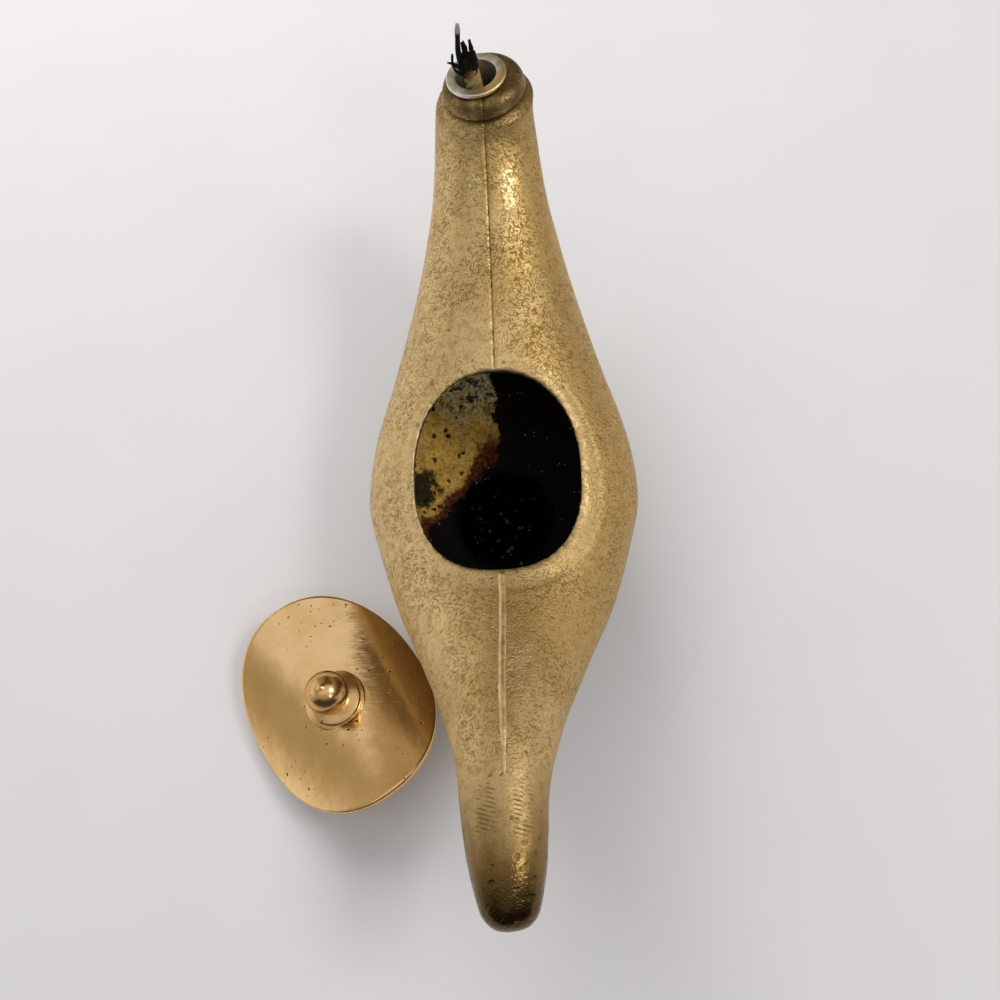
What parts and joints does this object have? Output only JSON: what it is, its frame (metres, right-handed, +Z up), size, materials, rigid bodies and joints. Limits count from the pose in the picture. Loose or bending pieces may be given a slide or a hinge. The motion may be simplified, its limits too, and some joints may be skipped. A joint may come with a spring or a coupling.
{
  "type": "covered spout oil lamp",
  "caption": "Crescent-shaped brass oil lamp with a wick spout, a flanged wick tube, a cotton wick, a round foot and a saddle-shaped lift-off lid with a ball knob.",
  "frame": {"origin": "centre of the underside of the round foot", "axes": "+Z up, +Y towards the wick spout, +X to the right as seen from behind the tail"},
  "size_m": [0.1241, 0.2383, 0.1036],
  "materials": {
    "cast_brass": "rough cast with fine dark chisel marks, lightly tarnished",
    "sheet_brass": "satin, lightly tarnished",
    "silvered_tube": "dull silvery satin",
    "cotton_wick": "oil-stained twisted cotton, charred black at the top",
    "polished_brass": "smooth polished with a few pinholes",
    "screw_brass": "turned satin"
  },
  "bodies": {
    "lamp": {"body_left_half": "cast_brass", "body_right_half": "cast_brass", "base_disc": "sheet_brass"},
    "wick_holder": {"wick_tube": "silvered_tube"},
    "wick": {"wick": "cotton_wick"},
    "lid": {"lid_plate": "polished_brass", "lid_locating_rim": "polished_brass", "lid_knob": "polished_brass", "knob_screw": "screw_brass", "knob_washer": "screw_brass"}
  },
  "joints": [
    {"name": "lid_lift", "type": "slide", "parent": "lamp", "child": "lid", "axis": [0, 0, 1], "range_m": [0, 0.1]},
    {"name": "wick_tube_lift", "type": "slide", "parent": "lamp", "child": "wick_holder", "axis": [-0.1037, 0.1288, 0.9862], "range_m": [0, 0.016]},
    {"name": "wick_feed", "type": "slide", "parent": "lamp", "child": "wick", "axis": [-0.1037, 0.1288, 0.9862], "range_m": [0, 0.005]}
  ]
}
